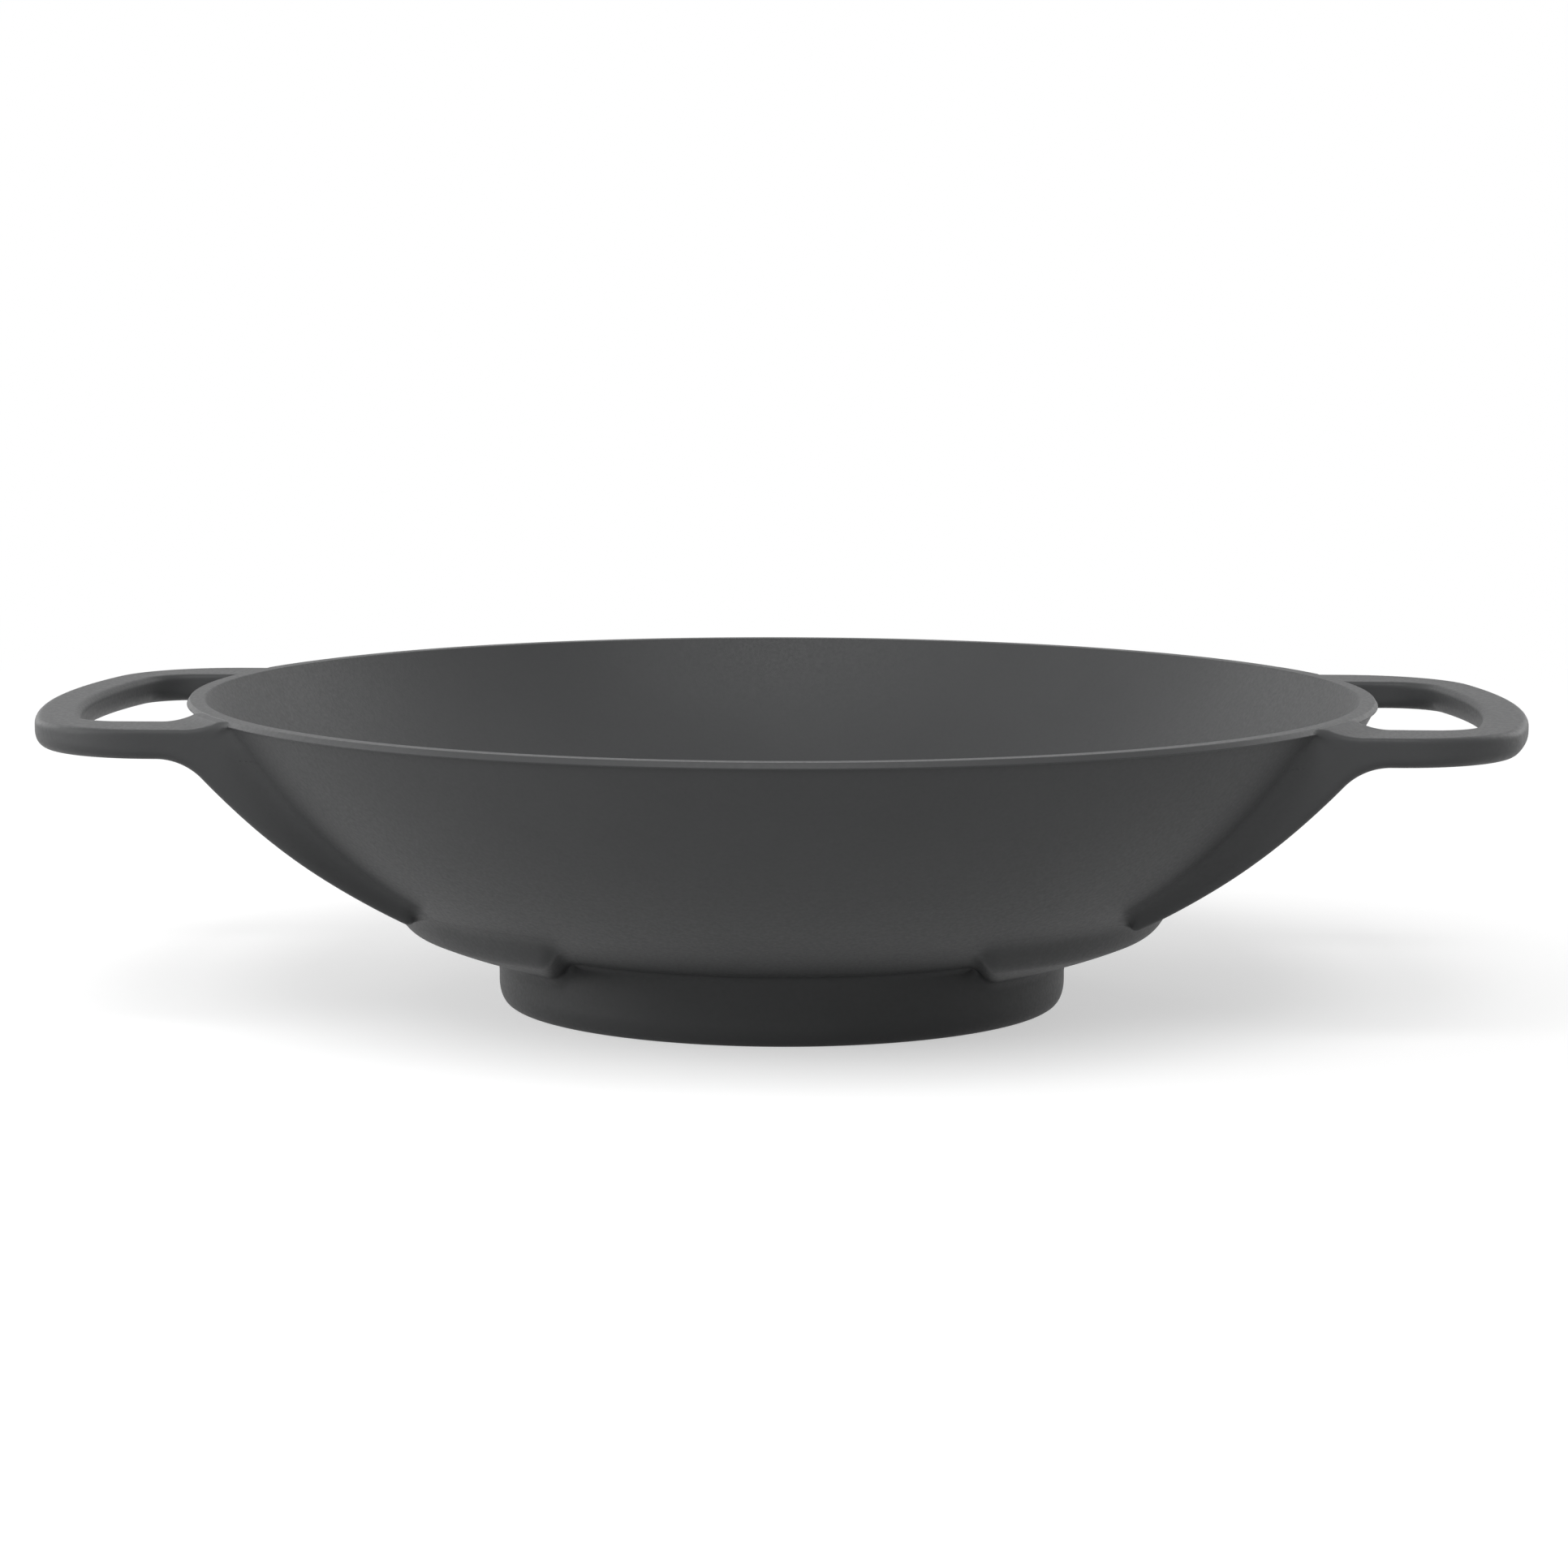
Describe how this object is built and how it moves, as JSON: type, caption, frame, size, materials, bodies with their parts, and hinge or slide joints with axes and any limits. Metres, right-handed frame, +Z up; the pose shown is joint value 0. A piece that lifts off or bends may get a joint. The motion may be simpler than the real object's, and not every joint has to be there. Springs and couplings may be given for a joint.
{
  "type": "cast iron wok",
  "caption": "Shallow cast iron wok with a narrow flat lip, a ring foot, and wide flat loop handles braced by ribs down the outside of the bowl.",
  "frame": {"origin": "on the table, under the middle of the foot ring", "axes": "+Z up, +X through the right-hand handle, and -Y towards the front of the picture"},
  "size_m": [0.443, 0.3556, 0.0931],
  "materials": {
    "cast_iron": "fine matt cast surface, seasoned to a dark slate grey with a soft satin sheen"
  },
  "bodies": {
    "root": {"bowl": "cast_iron", "rim_lip": "cast_iron", "foot_ring": "cast_iron", "left_base_pad": "cast_iron", "right_base_pad": "cast_iron", "left_front_rib": "cast_iron", "left_back_rib": "cast_iron", "right_front_rib": "cast_iron", "right_back_rib": "cast_iron", "left_front_arm": "cast_iron", "left_back_arm": "cast_iron", "right_front_arm": "cast_iron", "right_back_arm": "cast_iron", "left_grip": "cast_iron", "right_grip": "cast_iron"}
  },
  "joints": []
}
